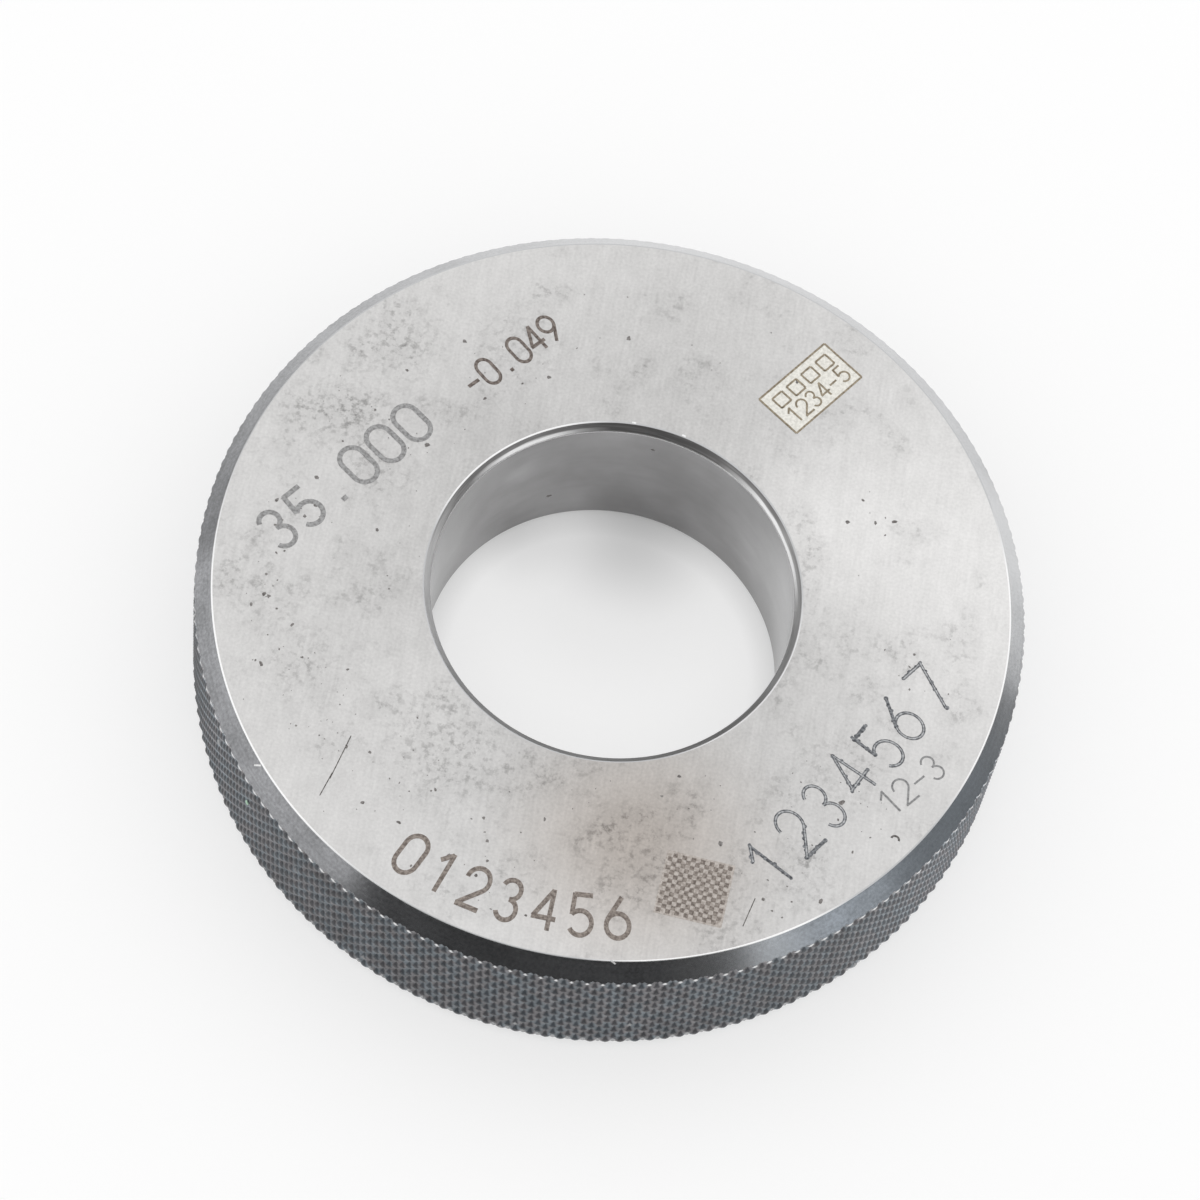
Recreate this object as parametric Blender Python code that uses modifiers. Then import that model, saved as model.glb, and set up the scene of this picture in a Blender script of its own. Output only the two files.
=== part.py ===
"""Setting ring gauge: a hardened steel ring with a lapped bore and a diamond-knurled rim.

The ring is one piece. Its frame has the origin at the centre of the lower face, with +Z
along the bore, up through the upper face.
"""

import math

import bmesh
import bpy

# Driving dimensions in metres
OUTER_DIAMETER = 0.080       # over the points of the knurl
RING_WIDTH = 0.018           # between the two ground faces
BORE_DIAMETER = 0.034951     # the size that the gauge hands on
RIM_CHAMFER = 0.0017         # leg of the 45 degree chamfer at each outer corner
BORE_CHAMFER = 0.0007        # leg of the 45 degree chamfer at each mouth of the bore
KNURL_DEPTH = 0.00042        # from the points of the knurl down to its grooves
KNURL_PITCH = 0.0016         # between neighbouring points, round the rim
KNURL_RISE = 0.0018          # between neighbouring points, across the rim

# How the round surfaces are divided
COLUMNS_PER_FACET = 3        # knurl columns to one flat facet of the bore, faces and chamfers
QUARTERS = 4                 # points of the knurl lie on +X, +Y, -X and -Y
SMOOTH_BELOW = math.radians(20)
SEAM_GAP = 0.00001           # closes the turned surface on itself

# Finish of the bare steel
STEEL_COLOUR = (0.55, 0.54, 0.53, 1.0)
STEEL_ROUGHNESS = 0.38


def clear_scene():
    """Remove whatever the scene holds, so that the ring is built alone."""
    for thing in list(bpy.data.objects):
        bpy.data.objects.remove(thing, do_unlink=True)


def knurl_columns():
    """Number of half pitches round the rim, a whole number to each facet and each quarter."""
    step = math.lcm(2 * QUARTERS, COLUMNS_PER_FACET)
    half_pitch = KNURL_PITCH / 2
    return step * max(1, round(math.pi * OUTER_DIAMETER / half_pitch / step))


def knurl_rows():
    """Number of half rises across the rim, between the two chamfers."""
    return 2 * max(1, round((RING_WIDTH - 2 * RIM_CHAMFER) / KNURL_RISE))


def mouth_and_face():
    """Section of the upper half inside the rim, as (radius, height) out from the bore."""
    bore = BORE_DIAMETER / 2
    return [
        (bore, RING_WIDTH - BORE_CHAMFER),
        (bore + BORE_CHAMFER, RING_WIDTH),
        (OUTER_DIAMETER / 2 - RIM_CHAMFER, RING_WIDTH),
    ]


def rim_line(rows):
    """Section of the rim, from the upper chamfer down to the lower one."""
    row_height = (RING_WIDTH - 2 * RIM_CHAMFER) / rows
    top = RING_WIDTH - RIM_CHAMFER
    return [(OUTER_DIAMETER / 2, top - row * row_height) for row in range(rows + 1)]


def turn(section, steps):
    """Turn a closed half section about Z. Its points are numbered column after column."""
    count = len(section)
    outline = bpy.data.meshes.new("section")
    outline.from_pydata(
        [(radius, 0.0, height) for radius, height in section],
        [(i, (i + 1) % count) for i in range(count)],
        [],
    )
    blank = bpy.data.objects.new("blank", outline)
    bpy.context.scene.collection.objects.link(blank)
    screw = blank.modifiers.new("turning", "SCREW")
    screw.axis = "Z"
    screw.angle = 2 * math.pi
    screw.steps = steps
    screw.render_steps = steps
    screw.use_merge_vertices = True
    screw.merge_threshold = SEAM_GAP
    solid = bpy.data.meshes.new_from_object(
        blank.evaluated_get(bpy.context.evaluated_depsgraph_get())
    )
    bpy.data.objects.remove(blank, do_unlink=True)
    bpy.data.meshes.remove(outline)
    return solid


def plain_facets(form, section_size, rim, columns):
    """Points off the rim that go, each with the point on its facet's corner that takes over."""
    taken_over = {}
    for vertex in form.verts:
        column, place = divmod(vertex.index, section_size)
        corner = COLUMNS_PER_FACET * round(column / COLUMNS_PER_FACET) % columns
        if place not in rim and corner != column:
            taken_over[vertex] = form.verts[corner * section_size + place]
    return taken_over


def press_knurl(form, section_size, rim):
    """Sink every other point of the rim, so that two crossing sets of grooves leave pyramids.

    At each edge a sunk point also runs up the 45 degree chamfer, which cuts the pyramids
    there. Each square of the rim is then folded along the groove that crosses it.
    """
    radius = OUTER_DIAMETER / 2
    on_rim = set()
    sunk = set()
    for vertex in form.verts:
        column, place = divmod(vertex.index, section_size)
        if place not in rim:
            continue
        on_rim.add(vertex)
        if (column + place - rim.start) % 2 == 0:
            continue
        sunk.add(vertex)
        vertex.co.x *= 1 - KNURL_DEPTH / radius
        vertex.co.y *= 1 - KNURL_DEPTH / radius
        if place == rim.start:
            vertex.co.z += KNURL_DEPTH
        elif place == rim.stop - 1:
            vertex.co.z -= KNURL_DEPTH
    for face in list(form.faces):
        if on_rim.issuperset(face.verts):
            groove = [vertex for vertex in face.verts if vertex in sunk]
            bmesh.utils.face_split(face, *groove)


def steel():
    """Bare hardened steel, ground and lapped."""
    material = bpy.data.materials.new("ground_steel")
    material.use_nodes = True
    surface = material.node_tree.nodes["Principled BSDF"]
    surface.inputs["Base Color"].default_value = STEEL_COLOUR
    surface.inputs["Metallic"].default_value = 1.0
    surface.inputs["Roughness"].default_value = STEEL_ROUGHNESS
    return material


def ring_gauge():
    """The whole ring: turned, knurled round the rim, and in wider facets where it is plain."""
    columns = knurl_columns()
    rows = knurl_rows()
    upper = mouth_and_face()
    lower = [(radius, RING_WIDTH - height) for radius, height in reversed(upper)]
    section = upper + rim_line(rows) + lower
    rim = range(len(upper), len(upper) + rows + 1)
    mesh = turn(section, columns)
    form = bmesh.new()
    form.from_mesh(mesh)
    form.verts.ensure_lookup_table()
    taken_over = plain_facets(form, len(section), rim, columns)
    press_knurl(form, len(section), rim)
    bmesh.ops.weld_verts(form, targetmap=taken_over)
    bmesh.ops.recalc_face_normals(form, faces=form.faces)
    form.to_mesh(mesh)
    form.free()
    mesh.shade_smooth()
    mesh.set_sharp_from_angle(angle=SMOOTH_BELOW)
    mesh.materials.append(steel())
    return bpy.data.objects.new("ring_gauge", mesh)


def main():
    clear_scene()
    parts = bpy.data.collections.new("setting_ring_gauge")
    bpy.context.scene.collection.children.link(parts)
    parts.objects.link(ring_gauge())


main()
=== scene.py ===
import math
import random

import bmesh
import bpy
from mathutils import Matrix, Vector


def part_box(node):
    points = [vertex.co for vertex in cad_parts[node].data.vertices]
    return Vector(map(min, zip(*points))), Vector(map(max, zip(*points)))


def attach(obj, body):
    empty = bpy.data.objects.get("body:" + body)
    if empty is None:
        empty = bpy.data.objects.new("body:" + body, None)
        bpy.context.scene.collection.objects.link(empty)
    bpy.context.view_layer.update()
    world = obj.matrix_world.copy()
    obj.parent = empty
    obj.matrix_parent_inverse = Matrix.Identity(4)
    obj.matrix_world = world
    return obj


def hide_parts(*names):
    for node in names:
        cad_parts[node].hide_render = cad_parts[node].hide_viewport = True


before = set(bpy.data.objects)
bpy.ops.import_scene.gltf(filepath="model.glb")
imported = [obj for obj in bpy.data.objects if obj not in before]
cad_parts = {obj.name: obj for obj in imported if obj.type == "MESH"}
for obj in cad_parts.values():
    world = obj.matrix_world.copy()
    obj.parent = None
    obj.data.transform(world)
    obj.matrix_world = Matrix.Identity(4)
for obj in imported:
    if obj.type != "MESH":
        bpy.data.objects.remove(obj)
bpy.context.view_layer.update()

# Ring blank
# One solid of hardened tool steel. It is turned from bar with a 45 degree chamfer at each outer
# corner and at each mouth of the bore, then its faces are ground flat and its bore is lapped.
MM = 0.001
close = 0.01 * MM              # heights or radii that differ by less are taken as the same
low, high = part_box("ring_gauge")
solid_points = [vertex.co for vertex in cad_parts["ring_gauge"].data.vertices]
face_radii = [math.hypot(p.x, p.y) for p in solid_points if p.z > high.z - close]
rim_radius = high.x
bore_radius = min(math.hypot(p.x, p.y) for p in solid_points)
mouth_radius = min(face_radii)
face_radius = max(face_radii)
rim_chamfer = rim_radius - face_radius
bore_chamfer = mouth_radius - bore_radius
corner_round = 0.09 * MM       # the ground corners are broken by hand with a stone

knurl_count = 174              # pyramids round the rim
knurl_rise = 1.646 * MM        # from one pyramid to the next across the rim
cells = 6                      # mesh squares to one pyramid, each way
columns = knurl_count * cells
upper_section = [
    (bore_radius, high.z - bore_chamfer),
    (mouth_radius, high.z),
    (face_radius, high.z),
    (rim_radius, high.z - rim_chamfer),
]
lower_section = [(radius, low.z + high.z - height) for radius, height in reversed(upper_section)]

form = bmesh.new()
corners = [form.verts.new((radius, 0, height)) for radius, height in upper_section + lower_section]
form.faces.new(corners)
bmesh.ops.bevel(
    form, geom=corners[:3] + corners[5:], affect="VERTICES", offset=corner_round,
    offset_type="OFFSET", segments=3, profile=0.5, material=-1,
)
rim_line = max(form.edges, key=lambda edge: min(end.co.x for end in edge.verts))
rows = round(rim_line.calc_length() / (knurl_rise / cells))
bmesh.ops.subdivide_edges(form, edges=[rim_line], cuts=rows - 1)
bmesh.ops.delete(form, geom=form.faces[:], context="FACES_ONLY")
bmesh.ops.spin(
    form, geom=form.verts[:] + form.edges[:], cent=(0, 0, 0), axis=(0, 0, 1),
    angle=2 * math.pi, steps=columns, use_merge=True, use_duplicate=False,
)
bmesh.ops.recalc_face_normals(form, faces=form.faces)

# Diamond knurl
# Two hardened wheels rolled crossing grooves into the rim before the chamfers were turned. The
# points between them stand in staggered rows, and the chamfers cut through the outer rows.
knurl_depth = 0.3 * MM
knurl_lean = 0.0325 / MM       # pitches that a column leans by, for each metre across the rim
first_row = 1                  # mesh rows from the chamfer's edge down to the first points
top_edge_share = 0.6           # share of their depth that the grooves keep at the upper edge
groove_power = 0.8             # below 1 for narrow grooves between full points
pitch_angle = 2 * math.pi / knurl_count
edge_height = high.z - rim_chamfer
row_height = (edge_height - low.z - rim_chamfer) / rows


def beside_groove(turns):
    """What one set of grooves leaves standing: 0 in a groove, 1 half way to the next."""
    return math.sin(math.pi * (turns % 1.0)) ** groove_power


knurl_map = form.loops.layers.uv.new("knurl")
rim_points = [v for v in form.verts if math.hypot(v.co.x, v.co.y) > rim_radius - close]
knurl_places = {}
for point in rim_points:
    down = edge_height - point.co.z
    row = round(down / row_height)
    column = math.atan2(point.co.y, point.co.x) / (pitch_angle / cells)
    across = round(column) / cells
    along = (row - first_row) / cells
    knurl_places[point] = (across, along)
    standing = beside_groove(across + along) * beside_groove(across - along)
    sunk = knurl_depth * (1 - standing)
    level = point.co.z
    if row == 0:
        sunk *= top_edge_share
        level += sunk
    elif row == rows:
        level -= sunk
    radius = rim_radius - sunk
    angle = (column / cells + knurl_lean * down) * pitch_angle
    point.co = (radius * math.cos(angle), radius * math.sin(angle), level)

rolled = set(rim_points)
for face in form.faces:
    face.smooth = rolled.issuperset(face.verts)
    if face.smooth:
        furthest = max(knurl_places[corner.vert][0] for corner in face.loops)
        for corner in face.loops:
            across, along = knurl_places[corner.vert]
            if furthest - across > knurl_count / 2:
                across += knurl_count
            corner[knurl_map].uv = (across, along)
for edge in form.edges:
    edge.smooth = len({rolled.issuperset(face.verts) for face in edge.link_faces}) == 1
mesh = bpy.data.meshes.new("ring")
form.to_mesh(mesh)
form.free()
ring = bpy.data.objects.new("ring", mesh)
bpy.context.scene.collection.objects.link(ring)
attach(ring, "root")
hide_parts("ring_gauge")

# Ground faces
# Bare tool steel, ground flat on a surface grinder. It is light grey and half matt, with faint
# straight grinding lines along Y. Oily hands have left it flecked in grey, with a brown stain.
ground_dark, ground_light, stain_brown = "868584", "F2F1F0", "EFE4DB"
line_width, line_length, line_depth = 0.3 * MM, 7 * MM, 0.003 * MM
smudge_width, smudge_length = 1.6 * MM, 3 * MM
blotches = (                   # x, y and reach in mm, and how much grime is flecked there
    (-25.5, 22.5, 7.5, 0.34), (-30.5, 13, 7, 0.3), (-12.5, -19.5, 10, 0.34), (-33, -8, 6, 0.2),
    (6.5, -27, 8, 0.24), (-14, 24, 8, 0.22), (14, 23, 8, 0.1), (-27, -14, 8, 0.2),
    (24, -14, 8, 0.2), (22, -26, 8, 0.2), (-33, 1, 4, 0.14), (20, 4, 8, 0.06),
)
# Painted light and shade on the face: shade darkens it toward the bore and in patches, and painted light
# (strength below 0) lightens it at the right.
painted_shades = (                     # x, y and reach in mm, and how much darker it is there
    (34, 10, 28, -0.17), (0, 0, 38, 0.2), (8, -27, 20, 0.12), (2, 30, 18, 0.06),
    (17, 10, 14, -0.14), (-14, -15, 12, -0.1), (-15, 14, 10, 0.06), (2, -38, 12, -0.06),
)
stain = (6.5, -25.5, 17, 0.75)


def linear(code):
    """An sRGB hex colour as linear RGBA."""
    parts = [int(code[i:i + 2], 16) / 255 for i in (0, 2, 4)]
    return [p / 12.92 if p <= 0.04045 else ((p + 0.055) / 1.055) ** 2.4 for p in parts] + [1.0]


def add(tree, kind, inputs=None, output=0, **settings):
    """Adds a node with its settings, sets or links its inputs, and returns one of its outputs."""
    made = tree.nodes.new(kind)
    for name, value in settings.items():
        setattr(made, name, value)
    for name, value in (inputs or {}).items():
        if isinstance(value, bpy.types.NodeSocket):
            tree.links.new(value, made.inputs[name])
        else:
            made.inputs[name].default_value = value
    return made.outputs[output]


def new_finish(name, metallic, roughness):
    """A material with its node tree and its Principled shader."""
    material = bpy.data.materials.new(name)
    material.use_nodes = True
    shader = material.node_tree.nodes["Principled BSDF"]
    shader.inputs["Metallic"].default_value = metallic
    shader.inputs["Roughness"].default_value = roughness
    return material, material.node_tree, shader


def fade(tree, place, x, y, reach, strength=1.0, full=0.0, level=high.z, blend="SMOOTHSTEP"):
    """Strength round a point in mm: whole as far as full from it, and none from reach on."""
    away = add(tree, "ShaderNodeVectorMath", {0: place, 1: (x * MM, y * MM, level)}, output="Value",
               operation="DISTANCE")
    return add(tree, "ShaderNodeMapRange", {"Value": away, "From Min": full * MM,
               "From Max": reach * MM, "To Min": strength, "To Max": 0.0}, interpolation_type=blend)


ground, tree, shader = new_finish("ground_steel", 1.0, 0.35)
place = add(tree, "ShaderNodeTexCoord", output="Object")
line_place = add(tree, "ShaderNodeMapping", {"Vector": place,
                 "Scale": (1 / line_width, 1 / line_length, 1)})
lines = add(tree, "ShaderNodeTexNoise", {"Vector": line_place, "Scale": 1.0, "Detail": 2.0})
grain = add(tree, "ShaderNodeTexNoise", {"Vector": place, "Scale": 1 / (0.3 * MM), "Detail": 3.0})
patch = add(tree, "ShaderNodeTexNoise", {"Vector": place, "Scale": 1 / (5 * MM), "Detail": 4.0})
grime = add(tree, "ShaderNodeMapRange", {"Value": patch, "From Min": 0.5, "From Max": 0.68,
            "To Max": 0.26})
for blotch in blotches:
    near = fade(tree, place, *blotch)
    grime = add(tree, "ShaderNodeMath", {0: near, 1: grime}, operation="ADD")
fleck = add(tree, "ShaderNodeTexNoise", {"Vector": place, "Scale": 1 / (0.7 * MM), "Detail": 6.0,
            "Roughness": 0.65})
fleck = add(tree, "ShaderNodeMapRange", {"Value": fleck, "From Min": 0.5, "From Max": 0.64,
            "To Min": 0.2})
grime = add(tree, "ShaderNodeMath", {0: grime, 1: fleck}, operation="MULTIPLY")
tone = add(tree, "ShaderNodeMath", {0: lines, 1: 0.12, 2: 0.39}, operation="MULTIPLY_ADD")
tone = add(tree, "ShaderNodeMath", {0: grain, 1: 0.25, 2: tone}, operation="MULTIPLY_ADD")
smudge_place = add(tree, "ShaderNodeMapping", {"Vector": place,
                   "Scale": (1 / smudge_width, 1 / smudge_length, 1)})
smudge = add(tree, "ShaderNodeTexNoise", {"Vector": smudge_place, "Scale": 1.0, "Detail": 5.0,
             "Roughness": 0.6})
tone = add(tree, "ShaderNodeMath", {0: smudge, 1: 0.2, 2: tone}, operation="MULTIPLY_ADD")
tone = add(tree, "ShaderNodeMath", {0: tone, 1: grime}, operation="SUBTRACT")
# Painted shade darkens the tone here, and painted light lightens it.
for shade in painted_shades:
    near = fade(tree, place, *shade)
    tone = add(tree, "ShaderNodeMath", {0: tone, 1: near}, operation="SUBTRACT")
lightness = add(tree, "ShaderNodeMapRange", {"Value": tone, "From Min": 0.1, "From Max": 0.95})
steel = add(tree, "ShaderNodeMixRGB", {"Fac": lightness, "Color1": linear(ground_dark),
            "Color2": linear(ground_light)})
stained = fade(tree, place, *stain)
steel = add(tree, "ShaderNodeMixRGB", {"Fac": stained, "Color1": steel, "Color2": linear(stain_brown)},
            blend_type="MULTIPLY")
tree.links.new(steel, shader.inputs["Base Color"])
dull = add(tree, "ShaderNodeMapRange", {"Value": tone, "To Min": 0.44, "To Max": 0.3})
tree.links.new(dull, shader.inputs["Roughness"])
relief = add(tree, "ShaderNodeBump", {"Height": lines, "Strength": 0.25, "Distance": line_depth})
tree.links.new(relief, shader.inputs["Normal"])
mesh.materials.append(ground)

# Turned chamfers
# The rim was blued in an oxidising bath after knurling, and the chamfers keep that skin. It is
# smooth, dark blue-grey and glossy, with faint turning rings, cloudy spots and painted reflections.
oxide_dark, oxide_light, sheen_grey, blue_tint = "78797B", "A4A5A8", "E2E3E4", "E9F3FB"
sheen_places = (             # x, y and reach in mm, strength, and how far it is whole in mm
    (36, 14, 15, 0.6, 3), (22, 34, 52, 0.4, 25), (38, -12, 20, 0.26, 7), (18, -35, 9, 0.3, 3),
)
blue_place = (34, -24, 26, 1.0, 8)


def turning_rings(tree, place, breadth, rise, detail):
    """Noise in thin level rings, as a turning tool leaves them, with its sizes in mm."""
    flat, upright = 1 / (breadth * MM), 1 / (rise * MM)
    ring_place = add(tree, "ShaderNodeMapping", {"Vector": place, "Scale": (flat, flat, upright)})
    return add(tree, "ShaderNodeTexNoise", {"Vector": ring_place, "Scale": 1.0, "Detail": detail})


oxide, tree, shader = new_finish("turned_oxide", 1.0, 0.25)
place = add(tree, "ShaderNodeTexCoord", output="Object")
rings = turning_rings(tree, place, 14, 0.16, 2.0)
spots = add(tree, "ShaderNodeTexNoise", {"Vector": place, "Scale": 1 / (0.3 * MM), "Detail": 3.0})
cloud = add(tree, "ShaderNodeTexNoise", {"Vector": place, "Scale": 1 / (4 * MM), "Detail": 3.0})
tone = add(tree, "ShaderNodeMath", {0: rings, 1: 0.2, 2: 0.0}, operation="MULTIPLY_ADD")
tone = add(tree, "ShaderNodeMath", {0: spots, 1: 0.45, 2: tone}, operation="MULTIPLY_ADD")
tone = add(tree, "ShaderNodeMath", {0: cloud, 1: 0.35, 2: tone}, operation="MULTIPLY_ADD")
mixed = add(tree, "ShaderNodeMapRange", {"Value": tone, "From Min": 0.36, "From Max": 0.64})
skin = add(tree, "ShaderNodeMixRGB", {"Fac": mixed, "Color1": linear(oxide_dark),
           "Color2": linear(oxide_light)})
# Painted reflection lightens the chamfers round these places.
sheen = 0.0
for sheen_place in sheen_places:
    near = fade(tree, place, *sheen_place)
    sheen = add(tree, "ShaderNodeMath", {0: near, 1: sheen}, operation="MAXIMUM")
skin = add(tree, "ShaderNodeMixRGB", {"Fac": sheen, "Color1": skin, "Color2": linear(sheen_grey)})
bluer = fade(tree, place, *blue_place)
skin = add(tree, "ShaderNodeMixRGB", {"Fac": bluer, "Color1": skin, "Color2": linear(blue_tint)},
           blend_type="MULTIPLY")
tree.links.new(skin, shader.inputs["Base Color"])
shader.inputs["Coat Weight"].default_value = 1.0
shader.inputs["Coat Roughness"].default_value = 0.2
mesh.materials.append(oxide)

# Rolled rim
# The same oxide on the knurl. Painted shade lies on the upper flanks and tips of the points, their
# sides are painted lighter, and the first row under the chamfer is worn bright, with a painted highlight.
lit_side_grey, shaded_tip_grey, worn_and_glint_white = "909296", "6E7074", "F0F0F0"
drop_shade_grey, drop_shade_black = "494B4F", "181A1E"
film_warm, film_cool = "FFF8F5", "F3FCFF"
rim_middle = 9 * MM
knurled, tree, shader = new_finish("knurled_oxide", 1.0, 0.42)
place = add(tree, "ShaderNodeTexCoord", output="Object")
# A spot's place on its own point: aside of its middle, and above or below its tip, in pitches.
knurl_place = add(tree, "ShaderNodeUVMap", uv_map="knurl")
across = add(tree, "ShaderNodeSeparateXYZ", {"Vector": knurl_place})
along = across.node.outputs["Y"]
left_turn = add(tree, "ShaderNodeMath", {0: across, 1: along}, operation="ADD")
right_turn = add(tree, "ShaderNodeMath", {0: across, 1: along}, operation="SUBTRACT")
left_share = add(tree, "ShaderNodeMath", {0: left_turn}, operation="FRACT")
right_share = add(tree, "ShaderNodeMath", {0: right_turn}, operation="FRACT")
both = add(tree, "ShaderNodeMath", {0: left_share, 1: right_share}, operation="ADD")
off_column = add(tree, "ShaderNodeMath", {0: both, 1: 1.0}, operation="SUBTRACT")
aside = add(tree, "ShaderNodeMath", {0: off_column}, operation="ABSOLUTE")
above = add(tree, "ShaderNodeMath", {0: right_share, 1: left_share}, operation="SUBTRACT")
# Painted shade lies in a drop over each tip, narrower toward its top.
taper = add(tree, "ShaderNodeMath", {0: above, 1: -0.5, 2: 0.5}, operation="MULTIPLY_ADD")
within = add(tree, "ShaderNodeMath", {0: taper, 1: aside}, operation="SUBTRACT")
over_tip = add(tree, "ShaderNodeMath", {0: above, 1: -0.04}, operation="SUBTRACT")
drop = add(tree, "ShaderNodeMath", {0: within, 1: over_tip}, operation="MINIMUM")
drop_shade_share = add(tree, "ShaderNodeMapRange", {"Value": drop, "From Min": -0.17, "From Max": 0.17},
           interpolation_type="SMOOTHSTEP")
# Painted shade makes the bare oxide darker on the tips, and painted light lighter on their sides.
off_row = add(tree, "ShaderNodeMath", {0: above}, operation="ABSOLUTE")
off_row = add(tree, "ShaderNodeMath", {0: off_row, 1: 0.35}, operation="MULTIPLY")
from_tip = add(tree, "ShaderNodeMath", {0: aside, 1: 2.0, 2: off_row}, operation="MULTIPLY_ADD")
tip = add(tree, "ShaderNodeMapRange", {"Value": from_tip, "From Min": 0.9, "From Max": 0.4},
          interpolation_type="SMOOTHSTEP")
skin = add(tree, "ShaderNodeMixRGB", {"Fac": tip, "Color1": linear(lit_side_grey), "Color2": linear(shaded_tip_grey)})
# Each point has a brightness of its own, and painted light brightens the rim at the right and at the left.
left_count = add(tree, "ShaderNodeMath", {0: left_turn}, operation="FLOOR")
right_count = add(tree, "ShaderNodeMath", {0: right_turn}, operation="FLOOR")
point_place = add(tree, "ShaderNodeCombineXYZ", {"X": left_count, "Y": right_count})
chance = add(tree, "ShaderNodeTexWhiteNoise", {"Vector": point_place}, noise_dimensions="2D")
gain = add(tree, "ShaderNodeMapRange", {"Value": chance, "To Min": 0.82, "To Max": 1.18})
at_right = fade(tree, place, 41, -4, 34, 1.7, level=rim_middle)
at_left = fade(tree, place, -38, -16, 24, 0.7, level=rim_middle)
gain = add(tree, "ShaderNodeMath", {0: at_right, 1: gain}, operation="ADD")
gain = add(tree, "ShaderNodeMath", {0: at_left, 1: gain}, operation="ADD")
# At the left the painted shade in the drops is darker too.
drop_shade = add(tree, "ShaderNodeMixRGB", {"Fac": at_left, "Color1": linear(drop_shade_grey), "Color2": linear(drop_shade_black)})
skin = add(tree, "ShaderNodeMixRGB", {"Fac": drop_shade_share, "Color1": skin, "Color2": drop_shade})
skin = add(tree, "ShaderNodeVectorMath", {0: skin, "Scale": gain}, operation="SCALE")
# The first row is worn bright with a painted highlight, wider toward its sides; a point here and there is
# worn bright.
below = add(tree, "ShaderNodeMath", {0: above, 1: 0.1}, operation="ADD")
off_tip = add(tree, "ShaderNodeMath", {0: below}, operation="ABSOLUTE")
from_worn_and_glint = add(tree, "ShaderNodeMath", {0: off_tip, 1: 0.7, 2: aside}, operation="MULTIPLY_ADD")
to_side = add(tree, "ShaderNodeSeparateXYZ", {"Vector": place})
to_side = add(tree, "ShaderNodeMath", {0: to_side}, operation="ABSOLUTE")
to_side = add(tree, "ShaderNodeMapRange", {"Value": to_side, "From Min": 5 * MM, "From Max": 30 * MM,
              "To Max": 0.25})
from_worn_and_glint = add(tree, "ShaderNodeMath", {0: from_worn_and_glint, 1: to_side}, operation="SUBTRACT")
worn_and_glint = add(tree, "ShaderNodeMapRange", {"Value": from_worn_and_glint, "From Min": 0.42, "From Max": 0.22})
point_row = add(tree, "ShaderNodeMath", {0: left_count, 1: right_count}, operation="SUBTRACT")
upper = add(tree, "ShaderNodeMapRange", {"Value": point_row, "To Min": 1.0, "To Max": 0.05})
knocked = add(tree, "ShaderNodeMapRange", {"Value": chance, "From Min": 0.984, "From Max": 1.0,
              "To Max": 0.8})
brightened = add(tree, "ShaderNodeMath", {0: upper, 1: knocked}, operation="MAXIMUM")
bright = add(tree, "ShaderNodeMath", {0: brightened, 1: worn_and_glint}, operation="MULTIPLY")
# A film of oil tints the rim, warm in some places and cool in others.
film = add(tree, "ShaderNodeTexNoise", {"Vector": place, "Scale": 1 / (1.3 * MM), "Detail": 2.0})
film = add(tree, "ShaderNodeMapRange", {"Value": film, "From Min": 0.42, "From Max": 0.58})
film = add(tree, "ShaderNodeMixRGB", {"Fac": film, "Color1": linear(film_warm), "Color2": linear(film_cool)})
skin = add(tree, "ShaderNodeMixRGB", {"Fac": 1.0, "Color1": skin, "Color2": film}, blend_type="MULTIPLY")
skin = add(tree, "ShaderNodeMixRGB", {"Fac": bright, "Color1": skin, "Color2": linear(worn_and_glint_white)})
tree.links.new(skin, shader.inputs["Base Color"])
mesh.materials.append(knurled)

# Lapped bore
# Bare steel lapped with a turning and sliding cast-iron lap, so it is bright and smooth. It has
# faint level rings and grey clouds. Painted shade darkens it toward its foot; painted light lifts three
# places.
lapped_dark, lapped_light = "858484", "CFCFD0"
lit_height = 12 * MM
lit_places = ((16, 5, 15, 0.8), (-18, -3, 9, 1.2), (-11, 13.5, 3, 0.35))
lapped, tree, shader = new_finish("lapped_steel", 1.0, 0.22)
place = add(tree, "ShaderNodeTexCoord", output="Object")
rings = turning_rings(tree, place, 7, 0.8, 3.0)
cloud = add(tree, "ShaderNodeTexNoise", {"Vector": place, "Scale": 1 / (6 * MM), "Detail": 3.0})
height = add(tree, "ShaderNodeSeparateXYZ", {"Vector": place}, output="Z")
tone = add(tree, "ShaderNodeMapRange", {"Value": height, "From Min": low.z, "From Max": high.z,
           "To Min": -0.28, "To Max": 0.0})
tone = add(tree, "ShaderNodeMath", {0: rings, 1: 0.2, 2: tone}, operation="MULTIPLY_ADD")
tone = add(tree, "ShaderNodeMath", {0: cloud, 1: 1.0, 2: tone}, operation="MULTIPLY_ADD")
for lit_place in lit_places:
    near = fade(tree, place, *lit_place, level=lit_height)
    tone = add(tree, "ShaderNodeMath", {0: near, 1: tone}, operation="ADD")
mixed = add(tree, "ShaderNodeMapRange", {"Value": tone, "From Max": 2.0})
skin = add(tree, "ShaderNodeMixRGB", {"Fac": mixed, "Color1": linear(lapped_dark),
           "Color2": linear(lapped_light)})
tree.links.new(skin, shader.inputs["Base Color"])
mesh.materials.append(lapped)

# Rubbed corners
# The corners of the ground faces, broken by hand with a stone. A painted highlight makes them
# bright, most of all at the left, at the right and at the front.
corner_grey, highlight_white = "C4C5C6", "FFFFFF"
highlight_places = (              # x, y and reach in mm, and strength
    (-46, -26, 36, 1.0), (38, -1, 18, 1.0), (17, -36, 14, 1.0), (-14, 14, 12, 0.9), (16, -8, 12, 0.5),
)
corner_highlight, tree, shader = new_finish("corner_highlight", 1.0, 0.3)
place = add(tree, "ShaderNodeTexCoord", output="Object")
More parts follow.
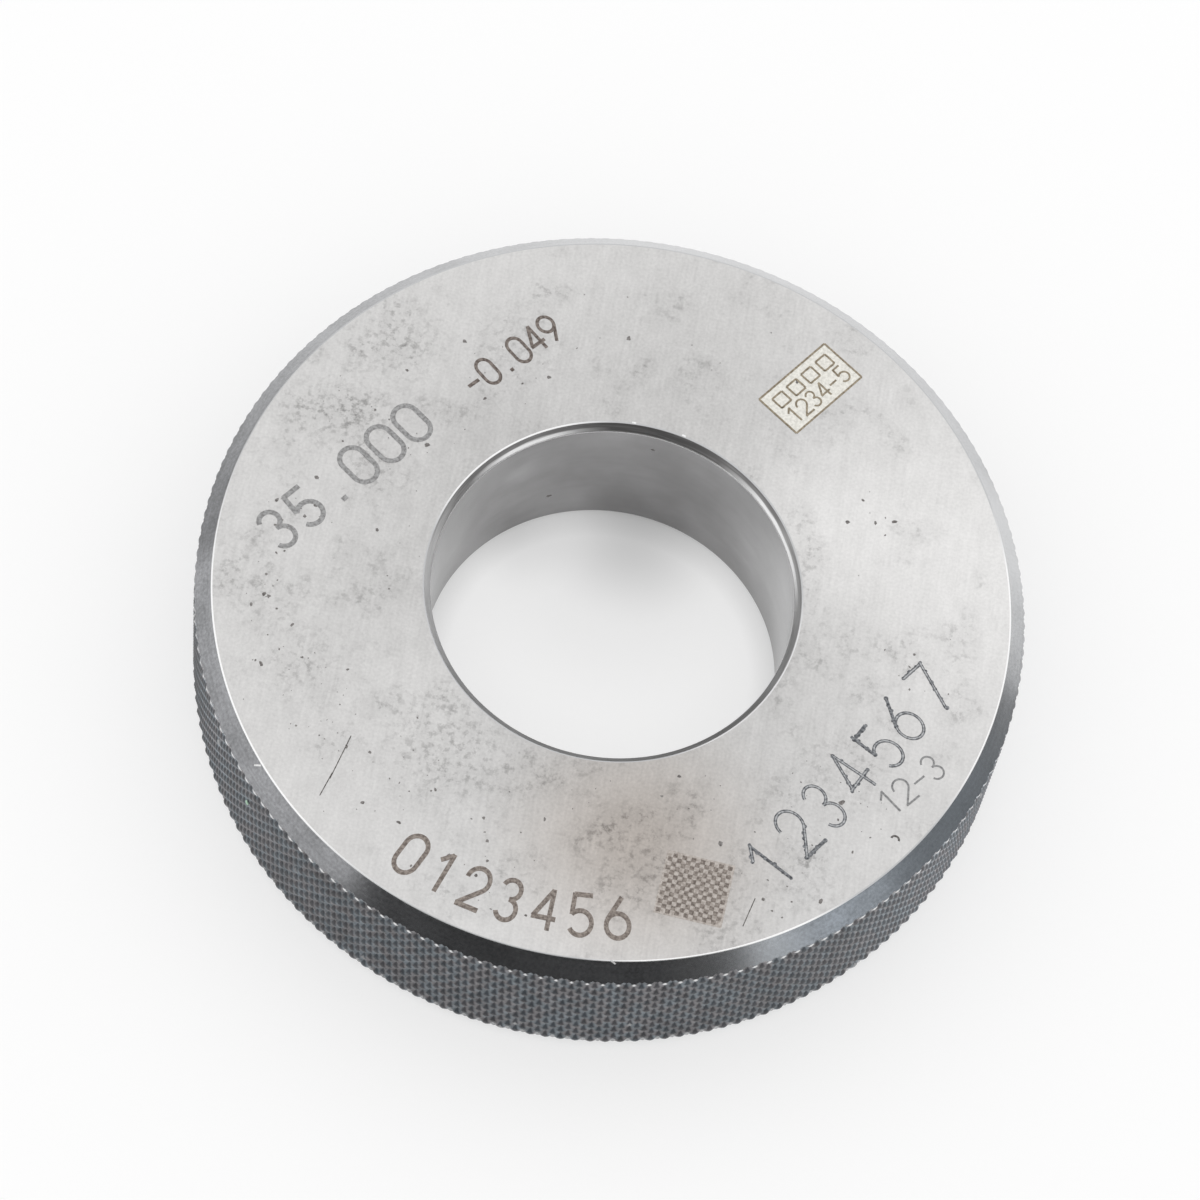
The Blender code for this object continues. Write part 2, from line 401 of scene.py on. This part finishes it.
# The painted highlight is strongest round these places.
brightened = 0.0
for x, y, reach, strength in highlight_places:
    near = fade(tree, place, x, y, reach, strength, full=0.6 * reach, blend="LINEAR")
    brightened = add(tree, "ShaderNodeMath", {0: near, 1: brightened}, operation="ADD")
skin = add(tree, "ShaderNodeMixRGB", {"Fac": brightened, "Color1": linear(corner_grey),
           "Color2": linear(highlight_white)})
tree.links.new(skin, shader.inputs["Base Color"])
mesh.materials.append(corner_highlight)

# Bore chamfers
# The small 45 degree chamfers at the mouths of the bore. They are turned and not lapped, so they
# are duller than the bore, with fine rings, and are rubbed bright where a gauge's head is led in.
mouth_dark, mouth_light, glint_white = "7C7B7B", "FFFFFF", "F4F4F4"
led_in_places = ((-16, -8, 17, 1.0), (16, -6, 17, 0.5), (0, -18, 14, 0.3), (15, 9, 8, 0.1))
glint_places = ((-10.5, 14.5, 8), (15, 9, 10))
mouth, tree, shader = new_finish("turned_mouth", 1.0, 0.35)
place = add(tree, "ShaderNodeTexCoord", output="Object")
rings = turning_rings(tree, place, 4, 0.15, 3.0)
brightened = add(tree, "ShaderNodeMath", {0: rings, 1: 0.5, 2: -0.25}, operation="MULTIPLY_ADD")
for led_in_place in led_in_places:
    near = fade(tree, place, *led_in_place, blend="LINEAR")
    brightened = add(tree, "ShaderNodeMath", {0: near, 1: brightened}, operation="ADD")
skin = add(tree, "ShaderNodeMixRGB", {"Fac": brightened, "Color1": linear(mouth_dark),
           "Color2": linear(mouth_light)})
# Painted highlights lie on the lower half of the chamfer at the back left and at the right.
height = add(tree, "ShaderNodeSeparateXYZ", {"Vector": place}, output="Z")
wavy = add(tree, "ShaderNodeMath", {0: rings, 1: 0.25 * MM, 2: height}, operation="MULTIPLY_ADD")
inner = add(tree, "ShaderNodeMapRange", {"Value": wavy, "From Min": high.z - 0.2 * MM,
            "From Max": high.z - 0.35 * MM}, interpolation_type="SMOOTHSTEP")
for x, y, reach in glint_places:
    near = fade(tree, place, x, y, reach, full=0.4 * reach, blend="LINEAR")
    glint = add(tree, "ShaderNodeMath", {0: near, 1: inner}, operation="MULTIPLY")
    skin = add(tree, "ShaderNodeMixRGB", {"Fac": glint, "Color1": skin, "Color2": linear(glint_white)})
tree.links.new(skin, shader.inputs["Base Color"])
mesh.materials.append(mouth)

# Lapped edges
# The corners between the bore and its chamfers, which the lap and the heads of gauges have
# rounded. A painted highlight makes them nearly white.
edge_grey, edge_white = "DCDCDC", "FFFFFF"
bore_edge_highlight, tree, shader = new_finish("bore_edge_highlight", 1.0, 0.3)
place = add(tree, "ShaderNodeTexCoord", output="Object")
spots = add(tree, "ShaderNodeTexNoise", {"Vector": place, "Scale": 1 / (1.2 * MM), "Detail": 3.0})
skin = add(tree, "ShaderNodeMixRGB", {"Fac": spots, "Color1": linear(edge_grey),
           "Color2": linear(edge_white)})
tree.links.new(skin, shader.inputs["Base Color"])
mesh.materials.append(bore_edge_highlight)

# Surfaces of the ring
# The ring is one piece of steel, so its finishes meet along its corners. Each face of the mesh
# takes its finish from how far out it lies, and how deep under the nearer ground face.
corner_drop = 0.72 * corner_round      # height of a rounded corner on its chamfer, and a little
finishes = list(mesh.materials)
for face in mesh.polygons:
    radius = math.hypot(face.center.x, face.center.y)
    depth = min(high.z - face.center.z, face.center.z - low.z)
    finish = ground
    if radius > face_radius and depth > rim_chamfer * 1.01:
        finish = knurled
    elif radius > face_radius and depth > corner_drop:
        finish = oxide
    elif radius < mouth_radius and depth > bore_chamfer + corner_round:
        finish = lapped
    elif radius < mouth_radius and depth > bore_chamfer - corner_drop:
        finish = bore_edge_highlight
    elif radius < mouth_radius and depth > corner_drop:
        finish = mouth
    elif abs(face.normal.z) < 0.999:
        finish = corner_highlight
    face.material_index = finishes.index(finish)

# Size numerals
# The nominal size is marked on the upper face along its left side. A laser lightly etched it, so
# the strokes are flat, grey and slightly see-through.
mark_proud = 0.012 * MM
stroke_lift = 0.0008           # between crossing strokes, so that no two lie in one plane
arc_step = 12                  # degrees of a round stroke to one straight piece of it
centred = Matrix.Translation((-0.3, -0.5, 0))
numerals = {                   # on a field 0.6 wide and 1 high: x, y, x, y of a straight stroke, or
    # x, y, radius, first angle and sweep of a round one
    "0": ((0, 0.3, 0, 0.7), (0.3, 0.7, 0.3, 180, -180), (0.6, 0.7, 0.6, 0.3), (0.3, 0.3, 0.3, 0, -180)),
    "1": ((0.1, 0.76, 0.36, 1), (0.36, 1.03, 0.36, 0)),
    "2": ((0.3, 0.7, 0.3, 180, -226.4), (0.507, 0.483, 0, 0), (-0.03, 0, 0.6, 0)),
    "3": ((0.28, 0.76, 0.24, 160, -250), (0.28, 0.26, 0.26, 90, -250)),
    "4": ((0.45, 0, 0.45, 1.02), (0.45, 1, 0.02, 0.3), (-0.02, 0.3, 0.62, 0.3)),
    "5": ((0.56, 1, 0.08, 1), (0.1, 1.03, 0.06, 0.5), (0.29, 0.31, 0.3, 141, -290)),
    "6": ((0.3, 0.3, 0.3, 0, 360), (0.04, 0.46, 0.42, 1)),
    "7": ((0, 1, 0.62, 1), (0.6, 1.02, 0.2, 0)),
    "8": ((0.3, 0.77, 0.22, 0, 360), (0.3, 0.27, 0.27, 0, 360)),
    "9": ((0.3, 0.7, 0.3, 0, 360), (0.56, 0.54, 0.18, 0)),
    "-": ((0.05, 0.45, 0.55, 0.45),),
    ".": ((0.24, 0.07, 0.38, 0.07),),
}


def draw(form, strokes, nib, place):
    """Draws strokes on a plane with a square-ended nib, and moves them to their place."""
    before = set(form.verts)
    for order, stroke in enumerate(strokes):
        known = set(form.verts)
        if len(stroke) == 4:
            x, y, end_x, end_y = stroke
            start = Vector((x, y, 0))
            run = Vector((end_x, end_y, 0)) - start
            side = run.normalized().cross(Vector((0, 0, 1))) * nib / 2
            tip = form.edges.new((form.verts.new(start - side), form.verts.new(start + side)))
            drawn = bmesh.ops.extrude_edge_only(form, edges=[tip])["geom"]
            ends = [item for item in drawn if isinstance(item, bmesh.types.BMVert)]
            bmesh.ops.translate(form, verts=ends, vec=run)
        else:
            x, y, radius, first, sweep = stroke
            middle = Vector((x, y, 0))
            toward = Vector((math.cos(math.radians(first)), math.sin(math.radians(first)), 0))
            ends = [form.verts.new(middle + toward * (radius + part * nib)) for part in (-0.5, 0.5)]
            tip = form.edges.new(ends)
            bmesh.ops.spin(form, geom=ends + [tip], cent=middle, axis=(0, 0, 1), use_merge=False,
                           angle=math.radians(sweep), steps=round(abs(sweep) / arc_step),
                           use_duplicate=False)
        lift = (0, 0, stroke_lift * (order % 3))
        bmesh.ops.translate(form, verts=[v for v in form.verts if v not in known], vec=lift)
    bmesh.ops.transform(form, matrix=place, verts=[v for v in form.verts if v not in before])


def on_face(x, y, heading, height=1.0):
    """The matrix that puts a drawing on the upper face, in millimetres, along a heading."""
    return (Matrix.Translation((x * MM, y * MM, high.z)) @ Matrix.Rotation(math.radians(heading), 4, "Z")
            @ Matrix.Scale(height * MM, 4))


def place_piece(name, form, finish):
    """Makes a piece of the ring from a form, with its finish."""
    shape = bpy.data.meshes.new(name)
    form.to_mesh(shape)
    form.free()
    shape.materials.append(finish)
    piece = bpy.data.objects.new(name, shape)
    bpy.context.scene.collection.objects.link(piece)
    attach(piece, "root")


def mark(name, form, finish, rest=0.0):
    """Gives drawn strokes their small thickness, and lays them on the ring or rest mm above it."""
    bmesh.ops.remove_doubles(form, verts=form.verts, dist=0.0005 * MM)
    bmesh.ops.recalc_face_normals(form, faces=form.faces)
    bmesh.ops.solidify(form, geom=form.faces[:], thickness=mark_proud)
    bmesh.ops.recalc_face_normals(form, faces=form.faces)
    lowest = min(point.co.z for point in form.verts)
    bmesh.ops.translate(form, verts=form.verts, vec=(0, 0, high.z + rest * MM - lowest))
    place_piece(name, form, finish)


def mark_finish(name, thin, thick):
    """A half matt finish for a mark or a crumb, uneven from spot to spot between two colours."""
    finish, tree, shader = new_finish(name, 0.6, 0.5)
    place = add(tree, "ShaderNodeTexCoord", output="Object")
    spots = add(tree, "ShaderNodeTexNoise", {"Vector": place, "Scale": 1 / (0.3 * MM), "Detail": 2.0})
    share = add(tree, "ShaderNodeMapRange", {"Value": spots, "From Min": 0.36, "From Max": 0.62})
    skin = add(tree, "ShaderNodeMixRGB", {"Fac": share, "Color1": linear(thick), "Color2": linear(thin)})
    tree.links.new(skin, shader.inputs["Base Color"])
    return finish


def figure(form, sign, x, y, heading, nib, height, width=1.0):
    """Draws one numeral with its middle at a point of the upper face, in mm."""
    draw(form, numerals[sign], nib / height, on_face(x, y, heading, height)
         @ Matrix.Diagonal((width, 1, 1, 1)) @ centred)


def row_of(form, text, start, end, nib, height, width=1.0):
    """Draws a straight row, with the middles of its first and last numerals at two points in mm."""
    start, end = Vector(start), Vector(end)
    heading = math.degrees(math.atan2(end.y - start.y, end.x - start.x))
    for order, sign in enumerate(text):
        x, y = start.lerp(end, order / (len(text) - 1))
        figure(form, sign, x, y, heading, nib, height, width)


form = bmesh.new()
row_of(form, "35.000", (-32.6, -0.3), (-22.2, 13.7), nib=0.5, height=4.2)
mark("size_numerals", form, mark_finish("laser_grey", "A9A9A9", "868585"))

# Deviation numerals
# What the bore measures against its nominal size, marked in a second pass with a hotter laser, so
# the strokes are dark brown.
form = bmesh.new()
row_of(form, "-0.049", (-17.2, 19.4), (-10.9, 26.9), nib=0.37, height=3.0, width=0.86)
mark("deviation_numerals", form, mark_finish("laser_brown", "8B827C", "5F5651"))

# Counting row
# Plain figures along the front of the face, on an arc about the bore, with their tops to the bore.
# The same hot laser marked them, a little more lightly, so they are tan.
row_radius = 34.0
first_turn, turn_step = -114.1, 5.7
form = bmesh.new()
for order, sign in enumerate("0123456"):
    turn = first_turn + turn_step * order
    x, y = row_radius * math.cos(math.radians(turn)), row_radius * math.sin(math.radians(turn))
    figure(form, sign, x, y, turn + 90, nib=0.5, height=4.1, width=0.87)
laser_tan = mark_finish("laser_tan", "9A918A", "6E655F")
mark("counting_row", form, laser_tan)

# Checker field
# A square field beside the counting row. The laser first frosted the ground, then burned it full of
# small squares, all alike and plain.
field_side = 6.1
field_cells = 14
frost_margin = 0.03            # of the field's side, all round
burn_rest = 0.005              # mm that burned marks lie above the frosting
field = on_face(12.5, -29.2, -3, field_side)
form = bmesh.new()
bmesh.ops.create_grid(form, x_segments=1, y_segments=1, size=0.5 + frost_margin, matrix=field)
mark("frosted_field", form, mark_finish("frosted_brown", "C4BDB7", "A59C95"))
form = bmesh.new()
bmesh.ops.create_grid(form, x_segments=field_cells, y_segments=field_cells, size=0.5, matrix=field)
light = []
for face in form.faces:
    middle = field.inverted() @ face.calc_center_median()
    if (math.floor(middle.x * field_cells) + math.floor(middle.y * field_cells)) % 2:
        light.append(face)
bmesh.ops.delete(form, geom=light, context="FACES")
mark("checker_field", form, laser_tan, burn_rest)

# Boxed label
# A framed field on the back of the face, with a row of small plain squares over a row of figures.
# The laser frosted it nearly white first, then burned the frame and the signs.
label = on_face(14.75, 20.45, 54.6)
label_nib = 0.2
box_length, box_width = 9.3, 5.1
square_side, square_step, square_left, square_foot = 1.35, 2.05, 0.95, 2.9
figure_height, figure_step, figure_left, figure_foot = 1.8, 1.35, 0.8, 0.65
form = bmesh.new()
bmesh.ops.create_grid(form, x_segments=1, y_segments=1, size=0.5,
                      matrix=label @ Matrix.Translation((box_length / 2, box_width / 2, 0))
                      @ Matrix.Diagonal((box_length, box_width, 1, 1)))
mark("frosted_label", form, mark_finish("frosted_light", "F1EFE8", "DCDAD3"))
form = bmesh.new()
frame_lines = [
    (0, 0, box_length, 0), (box_length, 0, box_length, box_width),
    (box_length, box_width, 0, box_width), (0, box_width, 0, 0),
]
for order in range(4):
    x, y = square_left + square_step * order, square_foot
    end_x, end_y = x + square_side, y + square_side
    frame_lines += [(x, y, end_x, y), (end_x, y, end_x, end_y), (end_x, end_y, x, end_y), (x, end_y, x, y)]
draw(form, frame_lines, label_nib, label)
for order, sign in enumerate("1234-5"):
    spot = label @ Matrix.Translation((figure_left + figure_step * order, figure_foot, 0))
    draw(form, numerals[sign], label_nib / figure_height, spot @ Matrix.Scale(figure_height, 4))
mark("boxed_label", form, mark_finish("label_tan", "A69B88", "7F7462"), burn_rest)

# Small numerals
# A short row of thin figures near the right edge. The laser etched it as lightly as the size, so
# it is grey and easily missed.
form = bmesh.new()
row_of(form, "12-3", (29.2, -16.8), (32.7, -12.4), nib=0.2, height=2.6)
mark("small_numerals", form, mark_finish("thin_grey", "9C9C9C", "7C7C7D"))

# Scribed numerals
# Written by hand with a vibrating pen. It ploughs a furrow with dark burred edges, lighter along
# its floor, and digs a dent wherever a stroke starts or ends.
pen_height, pen_width = 4.9, 0.82      # height of a numeral in mm, and its width against the field
burr_nib, furrow_nib = 0.36, 0.12
row_start, row_run = (19.2, -24.9), (12.3, 20.7)
dent_least, dent_most = 0.14, 0.24
form = bmesh.new()
furrow = bmesh.new()
shaky = random.Random(7)
for order, sign in enumerate("1234567"):
    x = row_start[0] + row_run[0] * order / 6 + shaky.uniform(-0.3, 0.3)
    y = row_start[1] + row_run[1] * order / 6 + shaky.uniform(-0.3, 0.3)
    spot = on_face(x, y, 59 + shaky.uniform(-6, 6), pen_height) @ centred
    slant = Matrix.Shear("XY", 4, (shaky.uniform(-0.12, 0.12), 0))
    spot = spot @ slant @ Matrix.Diagonal((pen_width, 1, 1, 1))
    draw(form, numerals[sign], burr_nib / pen_height, spot)
    draw(furrow, numerals[sign], furrow_nib / pen_height, spot)
    for stroke in numerals[sign]:
        if len(stroke) == 4:
            ends = [Vector((stroke[0], stroke[1], 0)), Vector((stroke[2], stroke[3], 0))]
            for end in ends + [ends[0].lerp(ends[1], share / 5) for share in (1, 2, 3, 4)]:
                slip = Vector((shaky.gauss(0, 0.07), shaky.gauss(0, 0.07), shaky.uniform(0, 0.004)))
                bmesh.ops.create_circle(form, cap_ends=True, segments=9,
                                        matrix=Matrix.Translation(spot @ end + slip * MM),
                                        radius=shaky.uniform(dent_least, dent_most) * MM)
mark("scribed_numerals", form, mark_finish("scribed_burr", "8C8E91", "4E5054"))
mark("scribed_furrows", furrow, mark_finish("scribed_floor", "C4C5C6", "8A8C8F"), 0.008)

# Rust pits
# Tiny pits that damp fingers have etched into the ground face. They are dark, uneven in outline and
# lie in clusters, most of them near the left edge and before the bore.
clusters = (                   # x, y and spread in mm, and how many pits
    (-31, 2, 3, 16), (-32, -7, 3, 14), (-29, -14, 3, 16), (-24, -19, 4, 20), (-27, 14, 5, 14),
    (-21, 10, 3, 10), (-16, -24, 5, 22), (-6, -31, 5, 14), (-15, 20, 4, 9), (-6, 26, 7, 9),
    (12, -21, 4, 12), (23, -17, 5, 16), (30, -2, 4, 8), (24, 12, 6, 9), (-20, 0, 3, 8),
    (27, -20, 3, 8), (22, -28, 4, 12), (0, -22, 6, 10), (10, 30, 7, 8),
)
pit_least, pit_range = 0.04, 0.16      # radius of the smallest pit, and how much the largest adds
pit_margin = 0.3 * MM                  # that the pits keep from the edges of the face
pit_jag = 0.2                          # how uneven their outlines are, against their size
form = bmesh.new()
scatter = random.Random(11)
for x, y, spread, count in clusters:
    for _ in range(count):
        px, py = scatter.gauss(x, spread / 1.6), scatter.gauss(y, spread / 1.6)
        if not mouth_radius + pit_margin < math.hypot(px, py) * MM < face_radius - pit_margin:
            continue
        size = pit_least + pit_range * scatter.random() ** 4
        spot = on_face(px, py, scatter.uniform(0, 180), size)
        spot = spot @ Matrix.Diagonal((scatter.uniform(1, 1.9), 1, 1, 1))
        made = bmesh.ops.create_circle(form, cap_ends=True, segments=7, radius=1.0, matrix=spot)["verts"]
        for point in made:
            point.co.x += scatter.gauss(0, pit_jag * size) * MM
            point.co.y += scatter.gauss(0, pit_jag * size) * MM
        bmesh.ops.translate(form, verts=made, vec=(0, 0, scatter.uniform(0, 0.004) * MM))
pit_finish = mark_finish("rust_pit", "908D8B", "686462")
mark("rust_pits", form, pit_finish)

# Bore pits
# Two small rust pits in the wall of the bore, one low at the back left and one high at the back.
# They are as dark and as uneven as those of the face.
wall_pits = ((117.3, 5.0, 0.22), (85.8, 14.8, 0.16))     # azimuth, height in mm, radius in mm


def out_at(azimuth, radius, height):
    """The matrix of a place on the ring, in metres, with X pointing out from the axis."""
    return Matrix.Rotation(math.radians(azimuth), 4, "Z") @ Matrix.Translation((radius, 0, height))


form = bmesh.new()
for azimuth, level, size in wall_pits:
    spot = (out_at(azimuth, bore_radius - close, level * MM)
            @ Matrix.Rotation(math.radians(-90), 4, "Y") @ Matrix.Diagonal((1, 1.4, 1, 1)))
    made = bmesh.ops.create_circle(form, cap_ends=True, segments=7, radius=size * MM, matrix=spot)["verts"]
    for point in made:
        point.co.z += scatter.gauss(0, pit_jag * size) * MM
bmesh.ops.solidify(form, geom=form.faces[:], thickness=mark_proud)
bmesh.ops.recalc_face_normals(form, faces=form.faces)
place_piece("bore_pits", form, pit_finish)

# Scratches
# Two long scratches and a crescent dent in the face, where other tools have slid or struck. They
# are cut into the bare steel, and old oil in them has turned dark.
scratch_lines = ((-21.6, -20.3, -22.7, -25.0), (-22.6, -24.4, -23.3, -26.9), (18.2, -29, 17.5, -32))
crescent = (30.2, -20.5, 0.38, -10, 170)
form = bmesh.new()
draw(form, scratch_lines, 0.09, on_face(0, 0, 0))
draw(form, (crescent,), 0.2, on_face(0, 0, 0))
mark("scratches", form, mark_finish("old_scratch", "7E7B79", "46423F"))

# Bright nicks
# Small knocks where another tool has struck through to bright steel: two at the back of the bore's
# mouth, and two on the outer corner of the face, at the front and at the front left.
mouth_nicks = ((-1.2, 18.25, -0.8, 18.25), (3.8, 17.9, 4.2, 17.8))
corner_nicks = (               # azimuth, radius in mm, and the stroke
    (-80.6, 38.3, (-0.05, -0.2, 0.3, 0.25)), (-139.9, 38.65, (0.32, -0.26, -0.3, 0.24)),
)
form = bmesh.new()
draw(form, mouth_nicks, 0.2, on_face(0, 0, 0) @ Matrix.Translation((0, 0, 0.003)))
for azimuth, radius, stroke in corner_nicks:
    drop = high.z / MM - (radius - face_radius / MM)
    spot = (out_at(azimuth, radius * MM, drop * MM)
            @ Matrix.Rotation(math.radians(45), 4, "Y") @ Matrix.Translation((0, 0, 0.01 * MM)))
    draw(form, (stroke,), 0.16, spot @ Matrix.Scale(MM, 4))
bmesh.ops.recalc_face_normals(form, faces=form.faces)
bmesh.ops.solidify(form, geom=form.faces[:], thickness=mark_proud)
bmesh.ops.recalc_face_normals(form, faces=form.faces)
place_piece("bright_nicks", form, mark_finish("bright_steel", "FFFFFF", "E4E4E4"))

# Paint fleck
# A crumb of pale green paint from another tool, stuck to the front left of the knurl. It has
# dried on the points, a quarter of a millimetre wide to each side.
form = bmesh.new()
spot = out_at(-139.1, rim_radius, 11.7 * MM) @ Matrix.Diagonal((0.12, 0.25, 0.32, 1))
bmesh.ops.create_icosphere(form, subdivisions=2, radius=MM, matrix=spot)
bmesh.ops.recalc_face_normals(form, faces=form.faces)
place_piece("paint_fleck", form, mark_finish("green_paint", "C8E4CE", "A8CCB0"))

# Table
# A plain white card under the ring, out of reach of the view's edges. It throws up the light of a
# grey one, and the eye sees it as white with the ring's shadow. In the bore it is darkest along the
# foot of the wall, and brighter where the wall lights it.
table_half = 1.5
table_lift = 0.565             # glow that makes the grey card look white
bore_shades = ((1, 15.5, 11, -0.22), (-10, 13, 7, -0.11))
form = bmesh.new()
bmesh.ops.create_grid(form, x_segments=1, y_segments=1, size=table_half)
table_mesh = bpy.data.meshes.new("table")
form.to_mesh(table_mesh)
form.free()
table = bpy.data.objects.new("table", table_mesh)
bpy.context.scene.collection.objects.link(table)
white_card, tree, shader = new_finish("white_card", 0.0, 0.9)
shader.inputs["Base Color"].default_value = (0.42, 0.42, 0.42, 1)
rays = add(tree, "ShaderNodeLightPath").node.outputs
seen = add(tree, "ShaderNodeMath", {0: rays["Is Camera Ray"], 1: rays["Is Glossy Ray"]},
           operation="MAXIMUM")
seen = add(tree, "ShaderNodeMath", {0: seen, 1: rays["Is Transmission Ray"]}, operation="MAXIMUM")
place = add(tree, "ShaderNodeTexCoord", output="Object")
from_bore = add(tree, "ShaderNodeVectorMath", {0: place}, output="Value", operation="LENGTH")
within = add(tree, "ShaderNodeMath", {0: from_bore, 1: bore_radius + 2 * MM}, operation="LESS_THAN")
from_shade = add(tree, "ShaderNodeVectorMath", {0: place, 1: (0, 8 * MM, 0)}, output="Value",
                 operation="DISTANCE")
thrown = add(tree, "ShaderNodeMapRange", {"Value": from_shade, "From Min": 3 * MM, "From Max": 14 * MM,
             "To Max": 0.055}, interpolation_type="SMOOTHSTEP")
foot = add(tree, "ShaderNodeMapRange", {"Value": from_bore, "From Min": bore_radius - 2.5 * MM,
           "From Max": bore_radius, "To Max": -0.14})
thrown = add(tree, "ShaderNodeMath", {0: thrown, 1: foot}, operation="ADD")
for bore_shade in bore_shades:
    near = fade(tree, place, *bore_shade, level=0.0)
    thrown = add(tree, "ShaderNodeMath", {0: near, 1: thrown}, operation="ADD")
lift = add(tree, "ShaderNodeMath", {0: within, 1: thrown, 2: table_lift}, operation="MULTIPLY_ADD")
lift = add(tree, "ShaderNodeMath", {0: seen, 1: lift}, operation="MULTIPLY")
shader.inputs["Emission Color"].default_value = (1, 1, 1, 1)
tree.links.new(lift, shader.inputs["Emission Strength"])
table_mesh.materials.append(white_card)

# Dark cards
# Three curved cards stand round the ring, out of the camera's view: a dark one before it and two
# grey ones beside it. The chamfers mirror them, as they mirror the room in the photograph.
card_radius, card_foot = 0.13, 0.001
cards = (                      # name, first azimuth and width in degrees, height in metres, shade
    ("front_card", 232, 76, 0.13, 0.13),
    ("right_card", -24, 40, 0.05, 0.42),
    ("left_card", 132, 34, 0.06, 0.75),
)
for name, first, width, height, shade in cards:
    form = bmesh.new()
    turn = math.radians(first)
    foot = form.verts.new((card_radius * math.cos(turn), card_radius * math.sin(turn), card_foot))
    top = form.verts.new((foot.co.x, foot.co.y, height))
    form.edges.new((foot, top))
    bmesh.ops.spin(form, geom=form.verts[:] + form.edges[:], cent=(0, 0, 0), axis=(0, 0, 1),
                   angle=math.radians(width), steps=24, use_merge=False, use_duplicate=False)
    card_mesh = bpy.data.meshes.new(name)
    form.to_mesh(card_mesh)
    form.free()
    card = bpy.data.objects.new(name, card_mesh)
    bpy.context.scene.collection.objects.link(card)
    card.visible_camera = False
    card.visible_diffuse = False
    paper, tree, shader = new_finish(name, 0.0, 0.9)
    shader.inputs["Base Color"].default_value = (shade, shade, shade, 1)
    card_mesh.materials.append(paper)

# Camera
# Stands where the photograph's stood: 63 degrees up and 0.44 metres from the middle of the upper
# face, slightly turned. Its pose was fitted to the circles of the ring.
camera_data = bpy.data.cameras.new("camera")
camera_data.lens = 138.25
camera_data.sensor_width = 36
camera = bpy.data.objects.new("camera", camera_data)
bpy.context.scene.collection.objects.link(camera)
right = Vector((0.982849, 0.165405, 0.081538))
up = Vector((-0.184394, 0.875646, 0.446366))
back = Vector((0.002432, -0.453745, 0.891128))
pose = Matrix((right, up, back)).transposed().to_4x4()
pose.translation = Vector((0, -0.20103, 0.40992))
camera.matrix_world = pose
bpy.context.scene.camera = camera

# Light
# An even white room all round, like a light tent. It is the only light, so the shades on the ring
# come from the table, the cards and the shade painted into its finishes.
world = bpy.data.worlds.new("studio")
world.use_nodes = True
bpy.context.scene.world = world
sky = world.node_tree
sky.nodes["Background"].inputs["Color"].default_value = (1, 1, 1, 1)
sky.nodes["Background"].inputs["Strength"].default_value = 1.0
bpy.context.scene.view_settings.view_transform = "Standard"
